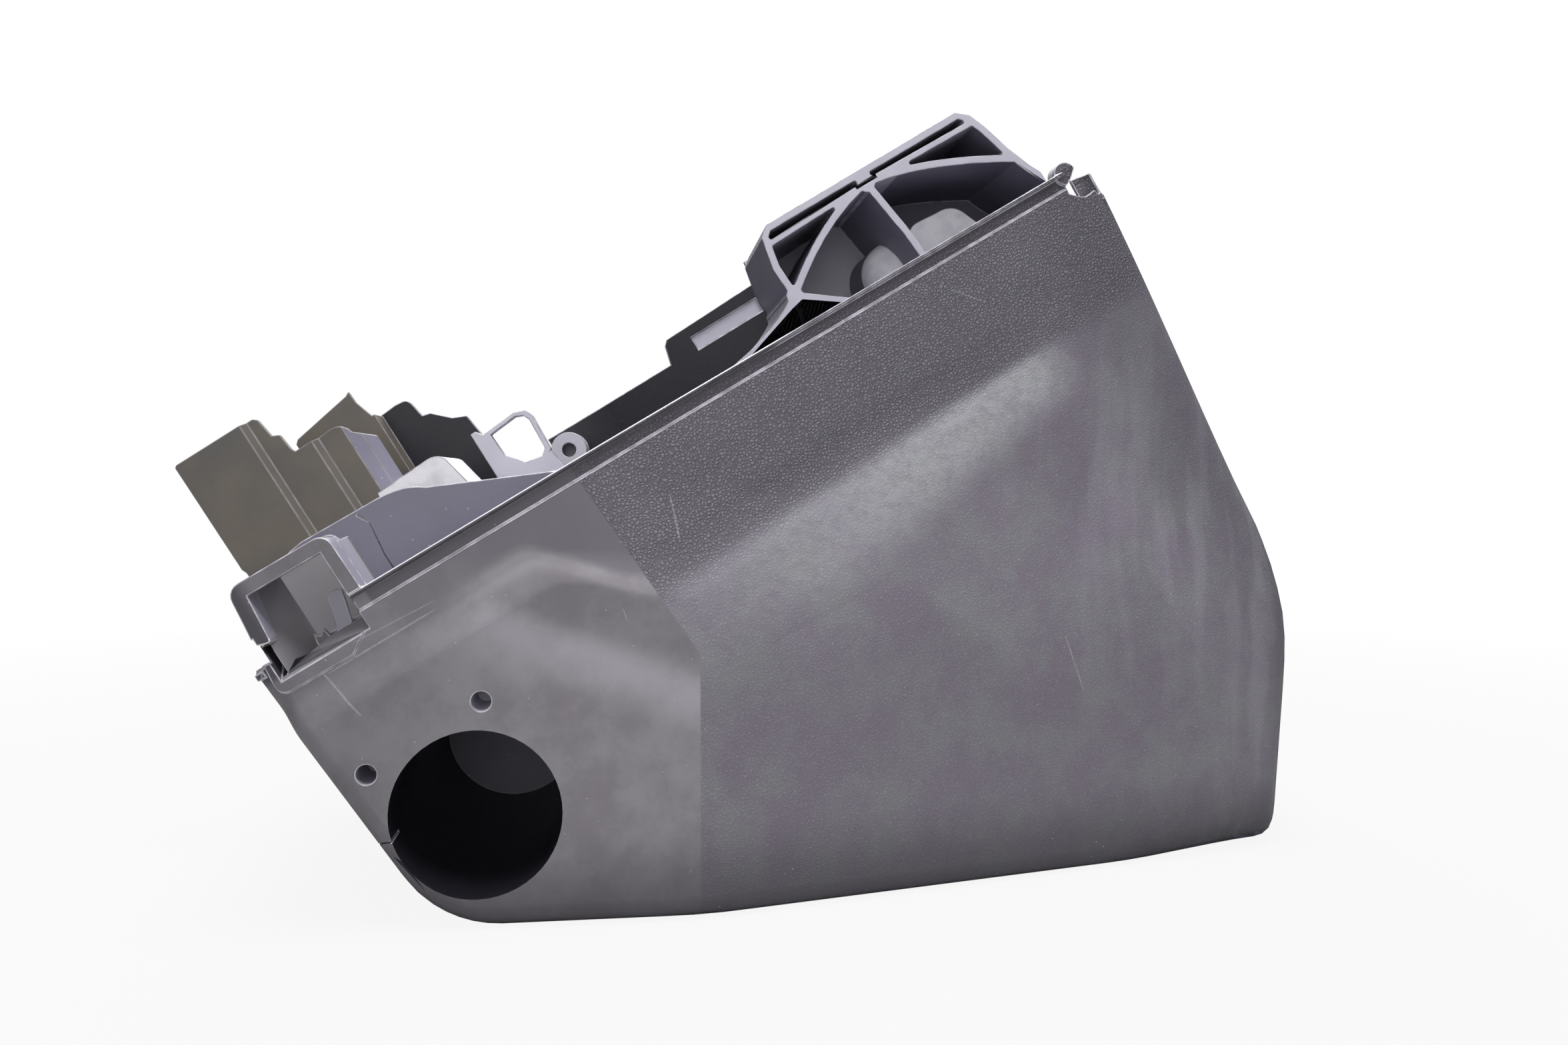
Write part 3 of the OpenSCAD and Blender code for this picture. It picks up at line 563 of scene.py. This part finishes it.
def dusted_dome_highlight(sizes, colours):
    """Domes and the hump under a film of fine dust, painted near white as a highlight where they catch the light:
    darker where the film is thin.
    """
    material, tree, shader, place = new_plastic("Moulded polypropylene, dusted pale with painted highlight")
    film = add_node(tree, "ShaderNodeTexNoise", {"Vector": place, "Scale": 1 / (14 * MM), "Detail": 5.0})
    dusty = laid_over(tree, tinted(colours.wiped), tinted(colours.dusted),
                      (film.outputs["Fac"], 0.15, 0.5, 0, 1), step="LINEAR")
    tree.links.new(dusty, shader.inputs["Base Color"])
    fine_pits(tree, shader, place, 0.7, 2.0, 0.03)
    shader.inputs["Roughness"].default_value = 0.5
    return material


def rubbed_edge_highlight(sizes, colours):
    """Rounded edges of the moulding: rubbed smooth, and painted pale as a highlight, so they show as thin light
    lines.
    """
    material, tree, shader, place = new_plastic("Moulded polypropylene, rubbed edge with painted highlight")
    wear = add_node(tree, "ShaderNodeTexNoise", {"Vector": place, "Scale": 1 / (6 * MM), "Detail": 5.0})
    rubbed = laid_over(tree, tinted(colours.skin, 1.4), tinted(colours.edge),
                       (wear.outputs["Fac"], 0.38, 0.62, 0, 1), step="LINEAR")
    along, up = rim_axes(tree, place, sizes)
    across = box_axes(tree, place)["Y"]
    near = zone_share(tree, (across, -112, -108, 1, 0))
    # Along the rim of the near panel the lip's lower edge gets painted shade, and its top edge a painted
    # highlight
    dark = laid_over(tree, rubbed, tinted(colours.grain, 0.35), (up, -4, -3, 0, 1), (up, -1, -0.7, 0.85, 0),
                     near)
    bright = laid_over(tree, dark, tinted(colours.dusted), (up, -0.9, -0.5, 0, 1), (up, 1, 2, 0.9, 0), near)
    # On the rear wing the edges are stained like the plates
    stained = laid_over(tree, bright, tinted(colours.plates, 1.15), (along, 18, 26, 0.75, 0),
                        (across, -95, -60, 0, 1))
    tree.links.new(stained, shader.inputs["Base Color"])
    fine_pits(tree, shader, place, 0.6, 2.0, 0.03)
    shader.inputs["Roughness"].default_value = 0.38
    return material


def torn_plastic(sizes, colours):
    """Stress-whitened break: fibrous and dull, pale on its ridges and dark in its pits."""
    material, tree, shader, place = new_plastic("Torn polypropylene, stress whitened")
    stretched = add_node(tree, "ShaderNodeMapping", {"Vector": place, "Scale": (1.0, 1.0, 0.3)})
    fibres = add_node(tree, "ShaderNodeTexNoise", {
        "Vector": stretched.outputs["Vector"], "Scale": 1 / (1.6 * MM), "Detail": 6.0,
        "Roughness": 0.7}).outputs["Fac"]
    whitened = laid_over(tree, tinted(colours.skin, 0.7), tinted(colours.fracture), (fibres, 0.38, 0.6, 0, 1),
                         step="LINEAR")
    tree.links.new(whitened, shader.inputs["Base Color"])
    relief = add_node(tree, "ShaderNodeBump", {"Height": fibres, "Distance": 0.5 * MM})
    tree.links.new(relief.outputs["Normal"], shader.inputs["Normal"])
    shader.inputs["Roughness"].default_value = 0.75
    return material


PLASTICS = (moulded_skin, smooth_inside, stained_plate, polished_core_shade, pale_lit_face, dusted_dome_highlight, rubbed_edge_highlight,
            torn_plastic)
SKIN, INSIDE, PLATE, CORE, PALE_LIT, DUSTED_HIGHLIGHT, EDGE, TORN = range(len(PLASTICS))


# ---- Which face gets which finish ----

# Zones of the moulding in the rim frame, in millimetres: lowest and highest u, y and v
FAR = math.inf
ANY = (-FAR, FAR)
BROKEN_CORNER = ((376, 405), (-FAR, -40), (-27, 4))
RIM_LUG = ((340, FAR), (-FAR, -40), (1, FAR))
CLIP_EAR = ((-FAR, 6), (-FAR, -97), ANY)
EAR_WINDOW = ((-48, -7), ANY, (-17, 26))
HUMP = ((7, 62), (-76.5, -13), (-8.5, 39))
LOOP = ((59, 97), (-7, 4), (8, FAR))
WING_PLATES = ((-FAR, 22), (-53, 46), ANY)
WING_INNER_END = ((13.5, FAR), (-FAR, -20), ANY)
DEEP_PLATES = ((-FAR, 70), (0, 46), ANY)
BRACKET = ((180, FAR), (-46, 48), (-8.5, FAR))
BRACKET_MIDDLE_CELL = ((238, 284), (-44, FAR), (-FAR, 72))
BRACKET_DOMES = ((284, 368), (-40, 12), (-FAR, 22))
BRACKET_CELL_WALL = ((300, 310), ANY, ANY)
FAR_WALL = (ANY, (40, FAR), (-8, FAR))
FAR_BOSS = ((84, 110), (-FAR, 129), (-FAR, 28))
FAR_POCKET = ((200, 248), ANY, (28, 37))
# Outer face of the near panel, end of the port tube and middle of the two screw holes with their reach
PANEL_FACE = -135.0
PORT_END = 40.0
SCREW_HOLES = (Vector((-133.0, 100.4)), Vector((-181.3, 69.9)))
SCREW_REACH = 4.6
# Cracks as lines in millimetres: of the inner wall as u and v, of the port as X and Z
WALL_CRACK = [Vector(p) for p in ((9.5, 28.5), (12.4, 24), (12.2, 20), (10.6, 8), (10.6, -2))]
PORT_CRACK = [Vector(p) for p in ((-180.6, 36), (-175.1, 39.5), (-171.6, 40.2), (-168.6, 43))]
# Heights between which the bend of the side panels moves back, and how far nose, heel and bottom reach
SLANT_LOW = 120 * MM
SLANT_RISE = 70 * MM
NOSE_REACH = 90 * MM
HEEL_REACH = 140 * MM
BOTTOM_REACH = 4 * MM


def within(place, zone):
    """Whether a place in the rim frame lies in a zone."""
    return all(low < value < high for value, (low, high) in zip(place, zone))


def from_line(point, line):
    """Distance of a flat point from a line of flat points."""
    ways = []
    for start, end in zip(line, line[1:]):
        share = (point - start).dot(end - start) / (end - start).length_squared
        ways.append((point - start.lerp(end, min(1, max(0, share)))).length)
    return min(ways)


def from_port(sizes, side_view):
    """Millimetres from the bore of the port to a place in the side view, below nought inside the bore."""
    centre = Vector((sizes.port_along, sizes.port_height)) / MM
    return (side_view - centre).length - sizes.port_bore / MM / 2


def outer_depth(sizes, centre):
    """How far a place lies inside the outline of the two tapered side panels."""
    raised = min(1.0, max(0.0, (centre.z - SLANT_LOW) / SLANT_RISE))
    narrow = math.tan(sizes.taper) * max(0.0, centre.x - sizes.bend + sizes.bend_slant * raised)
    return -CAD_LOW.y - narrow - abs(centre.y)


def on_skin(sizes, centre, normal, v):
    """Whether a face is outer skin: of a side panel, the nose, the bottom or the end wall."""
    outward = math.copysign(1.0, centre.y) * normal.y
    on_side = outer_depth(sizes, centre) < sizes.skin_depth and outward > 0.25
    on_nose = normal.x > 0.3 and centre.x > CAD_HIGH.x - NOSE_REACH
    on_bottom = normal.z < -0.4 and centre.z < BOTTOM_REACH
    on_end = normal.x < -0.6 and v < -2 and centre.x < CAD_LOW.x + HEEL_REACH
    return v < 2 and (on_side or on_nose or on_bottom or on_end)


def ear_finish(place, normal):
    """Finish of a face of the clip ear: painted highlight behind the right of its window, high on its left and on
    the fillet, and the stained plate low on the left.
    """
    u, y, v = place
    right = u > -22
    if within(place, EAR_WINDOW) and (normal.y > -0.5 or (right and y > -132)):
        if right and y < -118:
            return DUSTED_HIGHLIGHT
        return PALE_LIT if right or v > 2 else PLATE
    return PALE_LIT if u > -4 and normal.y > -0.9 else SKIN


def bracket_finish(sizes, place, normal):
    """Finish of a face of the ribbed bracket: painted highlight on its rib faces, on the domes behind them and on
    cell walls that face the light, darker on walls that face away.
    """
    on_face = place.y < sizes.bracket_face / MM + 1
    on_cell_wall = within(place, BRACKET_CELL_WALL) and normal.x < -0.5 and normal.z < -0.4
    # Pale or dark by the way a face turns: painted highlight and painted shade in the cells
    if on_face or (within(place, BRACKET_MIDDLE_CELL) and normal.x > -0.3):
        return PALE_LIT
    if within(place, BRACKET_DOMES) and not on_cell_wall:
        return DUSTED_HIGHLIGHT
    return PALE_LIT if normal.x > 0.3 else INSIDE


def slot_of_face(sizes, centre, normal):
    """Which finish a face of the moulding has, by its place and the way it faces."""
    place = rim_coordinates(sizes, centre)
    side_view = Vector((centre.x, centre.z)) / MM
    if within(place, BROKEN_CORNER) and abs(normal.y) < 0.4:
        return TORN
    in_crack = from_line(side_view, PORT_CRACK) < 1.5 and normal.x > -0.5
    if (from_port(sizes, side_view) < 0.5 or in_crack) and place.y > PANEL_FACE + 1:
        # The port tube is painted nearly black up to its end: painted shade inside the tube
        return CORE if place.y < PORT_END else INSIDE
    # The walls of the screw holes are pale: painted highlight where light falls into them
    if place.y > PANEL_FACE + 0.5 and min((side_view - hole).length for hole in SCREW_HOLES) < SCREW_REACH:
        return PALE_LIT
    if on_skin(sizes, centre, normal, place.z):
        return SKIN
    if within(place, CLIP_EAR):
        return ear_finish(place, normal)
    # Hump faces that face the camera, up or towards the nose are pale: painted highlight
    if within(place, HUMP) and (place.y < -52.5 or normal.z > 0.3 or normal.x > 0.3):
        return DUSTED_HIGHLIGHT
    # The rim lug and the loop are pale: painted highlight
    if within(place, RIM_LUG) or within(place, LOOP):
        return PALE_LIT
    if within(place, WING_PLATES):
        return INSIDE if within(place, WING_INNER_END) else PLATE
    # Deep plates and the far wall get the nearly black finish: painted shade deep in the box
    if within(place, DEEP_PLATES):
        return CORE
    if within(place, BRACKET):
        return bracket_finish(sizes, place, normal)
    if within(place, FAR_WALL):
        # The far boss and pocket are pale: painted highlight
        return PALE_LIT if within(place, FAR_BOSS) or within(place, FAR_POCKET) else CORE
    return INSIDE


# ---- The moulding ----

# Lowest and highest corner of what is trimmed off the end wall behind the ear, in the rim frame
TRIM_LOW, TRIM_HIGH = Vector((-70, -115, -7.5)), Vector((-55.5, -54, 6))
WELD = 0.01 * MM
SLIVER = 0.02 * MM
FLAT = math.radians(0.6)
SHARP_EDGE = math.radians(28)
SMOOTH_BELOW = math.radians(32)
# Height up to which the foot of the box keeps its edges sharp
FOOT_HEIGHT = 14 * MM
# Bevel widths from the surface past which a point counts as thrown out
THROWN_OUT = 1.3


def trim_end_wall(piece, sizes):
    """Cut the end wall back behind the clip ear, down to the step in its outer end."""
    bpy.ops.object.select_all(action="DESELECT")
    bpy.ops.mesh.primitive_cube_add(size=1)
    cutter = bpy.context.object
    cutter.scale = (TRIM_HIGH - TRIM_LOW) * MM
    cutter.rotation_euler = (0, -sizes.rim_slope, 0)
    cutter.location = rim_place(sizes, *((TRIM_LOW + TRIM_HIGH) / 2))
    apply_modifier(piece, "BOOLEAN", object=cutter, operation="DIFFERENCE", solver="EXACT")
    bpy.data.objects.remove(cutter, do_unlink=True)


def housing_copy(sizes):
    """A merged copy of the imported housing, trimmed at the ear, with its flat faces joined."""
    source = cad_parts[HOUSING_NODE]
    piece = source.copy()
    piece.data = source.data.copy()
    piece.name = piece.data.name = "moulded_housing"
    piece.parent = None
    piece.matrix_world = Matrix.Identity(4)
    bpy.context.collection.objects.link(piece)
    start_edit(piece)
    bpy.ops.mesh.customdata_custom_splitnormals_clear()
    bpy.ops.mesh.remove_doubles(threshold=WELD)
    bpy.ops.object.mode_set(mode="OBJECT")
    trim_end_wall(piece, sizes)
    start_edit(piece)
    bpy.ops.mesh.remove_doubles(threshold=WELD)
    bpy.ops.mesh.dissolve_degenerate(threshold=SLIVER)
    bpy.ops.mesh.dissolve_limited(angle_limit=FLAT)
    bpy.ops.object.mode_set(mode="OBJECT")
    return piece


def left_sharp(sizes, place):
    """Whether an edge belongs to a crack, the port or the foot, where no pale rounded edge shows."""
    u, y, v = rim_coordinates(sizes, place)
    side_view = Vector((place.x, place.z)) / MM
    at_wall_crack = -115 < y < -109 and from_line(Vector((u, v)), WALL_CRACK) < 0.6
    at_port_crack = y < -110 and from_line(side_view, PORT_CRACK) < 0.8
    at_port = y < PORT_END and from_port(sizes, side_view) < 0.2
    return place.z < FOOT_HEIGHT or at_wall_crack or at_port or at_port_crack


def round_edges(piece, sizes, width):
    """Round the sharp edges but not the cracks, and bring back to the surface what a sliver threw out."""
    select_only(piece)
    surface = BVHTree.FromObject(piece, bpy.context.evaluated_depsgraph_get())
    bpy.ops.object.mode_set(mode="EDIT")
    bpy.ops.mesh.select_mode(type="EDGE")
    bpy.ops.mesh.select_all(action="DESELECT")
    bpy.ops.mesh.edges_select_sharp(sharpness=SHARP_EDGE)
    bpy.ops.object.mode_set(mode="OBJECT")
    points = piece.data.vertices
    for line in piece.data.edges:
        start, end = (points[i].co for i in line.vertices)
        if line.select and left_sharp(sizes, (start + end) / 2):
            line.select = False
    bpy.ops.object.mode_set(mode="EDIT")
    bpy.ops.transform.edge_bevelweight(value=1.0)
    bpy.ops.object.mode_set(mode="OBJECT")
    apply_modifier(piece, "BEVEL", width=width, segments=2, limit_method="WEIGHT",
                   use_clamp_overlap=False, material=EDGE)
    for vertex in piece.data.vertices:
        place, _, _, away = surface.find_nearest(vertex.co)
        if away > THROWN_OUT * width:
            vertex.co = place


class OBJECT_OT_support_box_housing(bpy.types.Operator):
    """Dress the moulding: rounded edges, and a finish for each kind of face"""

    bl_idname = "object.support_box_housing"
    bl_label = "Moulded Housing"

    def execute(self, context):
        sizes, colours, _ = settings()
        piece = housing_copy(sizes)
        piece.data.materials.clear()
        for make in PLASTICS:
            piece.data.materials.append(make(sizes, colours))
        for face in piece.data.polygons:
            face.material_index = slot_of_face(sizes, face.center, face.normal)
        round_edges(piece, sizes, sizes.edge_round)
        select_only(piece)
        bpy.ops.object.shade_smooth_by_angle(angle=SMOOTH_BELOW)
        apply_modifier(piece, "WEIGHTED_NORMAL", keep_sharp=True, weight=80)
        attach(piece, "root")
        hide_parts(HOUSING_NODE)
        return {"FINISHED"}


# ---- Studio, in metres ----

TABLE_SIZE = 12
BACKDROP_HEIGHT = 8
SWEEP = 2.5
# How white the camera sees the paper near the box, and where it gets and is plain white
NEAR_WHITE = 0.9
WHITE_START, WHITE_END = 0.45, 1.2
# Place and size of the front, top and back lamp, which all shine at the same place
LAMPS = (
    ("front_lamp", (-0.35, -1.6, 0.5), 1.2),
    ("top_lamp", (0.05, -0.33, 1.42), 0.8),
    ("back_lamp", (-0.1, 1.0, 1.15), 0.8),
)
LAMP_AIM = Vector((0, 0, 0.2))


def plain_paper(rgb):
    """Matt white paper that the camera sees nearly white, while it still takes the shadow of the box."""
    material, tree, shader, place = new_material("Seamless white paper")
    tree.links.new(mottle(tree, place, rgb, 0.4, 0.01), shader.inputs["Base Color"])
    shader.inputs["Roughness"].default_value = 0.9
    glow = add_node(tree, "ShaderNodeEmission", {"Color": (1, 1, 1, 1), "Strength": 1.0})
    ray = add_node(tree, "ShaderNodeLightPath")
    # Near the box the paper keeps a little of its own shading, so that the shadow shows
    away = add_node(tree, "ShaderNodeVectorMath", {0: place}, operation="LENGTH")
    share = zone_share(tree, ray.outputs["Is Camera Ray"],
                       (away.outputs["Value"], WHITE_START, WHITE_END, NEAR_WHITE, 1.0), step="LINEAR")
    both = add_node(tree, "ShaderNodeMixShader", {
        0: share, 1: shader.outputs["BSDF"], 2: glow.outputs["Emission"]})
    tree.links.new(both.outputs["Shader"], tree.nodes["Material Output"].inputs["Surface"])
    return material


def paper_sweep(colours):
    """The table, with its far edge turned up into a backdrop with a soft sweep."""
    bpy.ops.object.select_all(action="DESELECT")
    bpy.ops.mesh.primitive_plane_add(size=TABLE_SIZE, location=(0, 0, CAD_LOW.z))
    table = bpy.context.object
    table.name = "table"
    bpy.ops.object.mode_set(mode="EDIT")
    bpy.ops.mesh.select_mode(type="EDGE")
    bpy.ops.mesh.select_all(action="DESELECT")
    bpy.ops.object.mode_set(mode="OBJECT")
    for line in table.data.edges:
        line.select = min(table.data.vertices[i].co.y for i in line.vertices) > TABLE_SIZE * 0.49
    bpy.ops.object.mode_set(mode="EDIT")
    bpy.ops.mesh.extrude_region_move(TRANSFORM_OT_translate={"value": (0, 0, BACKDROP_HEIGHT)})
    bpy.ops.mesh.select_all(action="SELECT")
    bpy.ops.object.mode_set(mode="OBJECT")
    apply_modifier(table, "BEVEL", width=SWEEP, segments=16, limit_method="ANGLE")
    bpy.ops.object.transform_apply()
    bpy.ops.object.shade_smooth()
    table.data.materials.append(plain_paper(colours.table))
    return table


def even_sky(scene, strength):
    """Soft even light from all around, which the camera sees as plain white."""
    world = bpy.data.worlds.new("even_sky")
    world.use_nodes = True
    scene.world = world
    sky = world.node_tree.nodes["Background"]
    sky.inputs["Color"].default_value = (0.97, 0.98, 1.0, 1.0)
    ray = add_node(world.node_tree, "ShaderNodeLightPath")
    shown = add_node(world.node_tree, "ShaderNodeMapRange", {
        "Value": ray.outputs["Is Camera Ray"], "To Min": strength, "To Max": 1.05})
    world.node_tree.links.new(shown.outputs[0], sky.inputs["Strength"])


def area_lamp(name, place, size, power):
    """A square soft lamp that shines at the box."""
    lamp = bpy.data.lights.new(name, "AREA")
    lamp.size = size
    lamp.energy = power
    holder = bpy.data.objects.new(name, lamp)
    holder.location = place
    holder.rotation_euler = (LAMP_AIM - Vector(place)).to_track_quat("-Z", "Y").to_euler()
    bpy.context.collection.objects.link(holder)


def photo_camera(scene, sizes, studio):
    """The camera at the place and with the lens that the photograph was worked out to have."""
    lens = bpy.data.cameras.new("photo_camera")
    lens.sensor_width = 36.0
    lens.lens = lens.sensor_width * studio.focal_pixels / PHOTO_WIDTH
    lens.clip_start = 0.02
    lens.clip_end = 50.0
    camera = bpy.data.objects.new("photo_camera", lens)
    camera.location = (studio.camera_along - sizes.ear_end, CAD_LOW.y - studio.camera_distance,
                       studio.camera_height)
    camera.rotation_euler = (math.radians(90) - studio.camera_pitch, 0, -studio.camera_yaw)
    scene.collection.objects.link(camera)
    scene.camera = camera


class SCENE_OT_support_box_studio(bpy.types.Operator):
    """Set the table, the backdrop, the lamps, the even light and the camera"""

    bl_idname = "scene.support_box_studio"
    bl_label = "Studio"

    def execute(self, context):
        sizes, colours, studio = settings()
        paper_sweep(colours)
        even_sky(context.scene, studio.sky)
        powers = studio.key_power, studio.top_power, studio.back_power
        for (name, place, size), power in zip(LAMPS, powers):
            area_lamp(name, place, size, power)
        photo_camera(context.scene, sizes, studio)
        context.scene.view_settings.view_transform = "Standard"
        return {"FINISHED"}


class VIEW3D_PT_support_box(bpy.types.Panel):
    """Buttons and values of the steering support box"""

    bl_label = "Support Box"
    bl_idname = "VIEW3D_PT_support_box"
    bl_space_type = "VIEW_3D"
    bl_region_type = "UI"
    bl_category = "Support Box"

    def draw(self, context):
        layout = self.layout
        for operator in OPERATORS:
            layout.operator(operator.bl_idname)
        for group in (context.scene.box_sizes, context.scene.box_colours, context.scene.box_studio):
            column = layout.column()
            for name in group.__annotations__:
                column.prop(group, name)


GROUPS = (SupportBoxSizes, SupportBoxColours, SupportBoxStudio)
OPERATORS = (OBJECT_OT_support_box_housing, SCENE_OT_support_box_studio)
CLASSES = GROUPS + OPERATORS + (VIEW3D_PT_support_box,)


def register():
    for item in CLASSES:
        bpy.utils.register_class(item)
    bpy.types.Scene.box_sizes = PointerProperty(type=SupportBoxSizes)
    bpy.types.Scene.box_colours = PointerProperty(type=SupportBoxColours)
    bpy.types.Scene.box_studio = PointerProperty(type=SupportBoxStudio)


def unregister():
    del bpy.types.Scene.box_sizes
    del bpy.types.Scene.box_colours
    del bpy.types.Scene.box_studio
    for item in reversed(CLASSES):
        bpy.utils.unregister_class(item)


def plain(box):
    """A box as plain lists of numbers."""
    return [list(corner) for corner in box]


def main():
    register()
    bpy.ops.object.support_box_housing()
    bpy.ops.scene.support_box_studio()


if __name__ == "__main__":
    main()
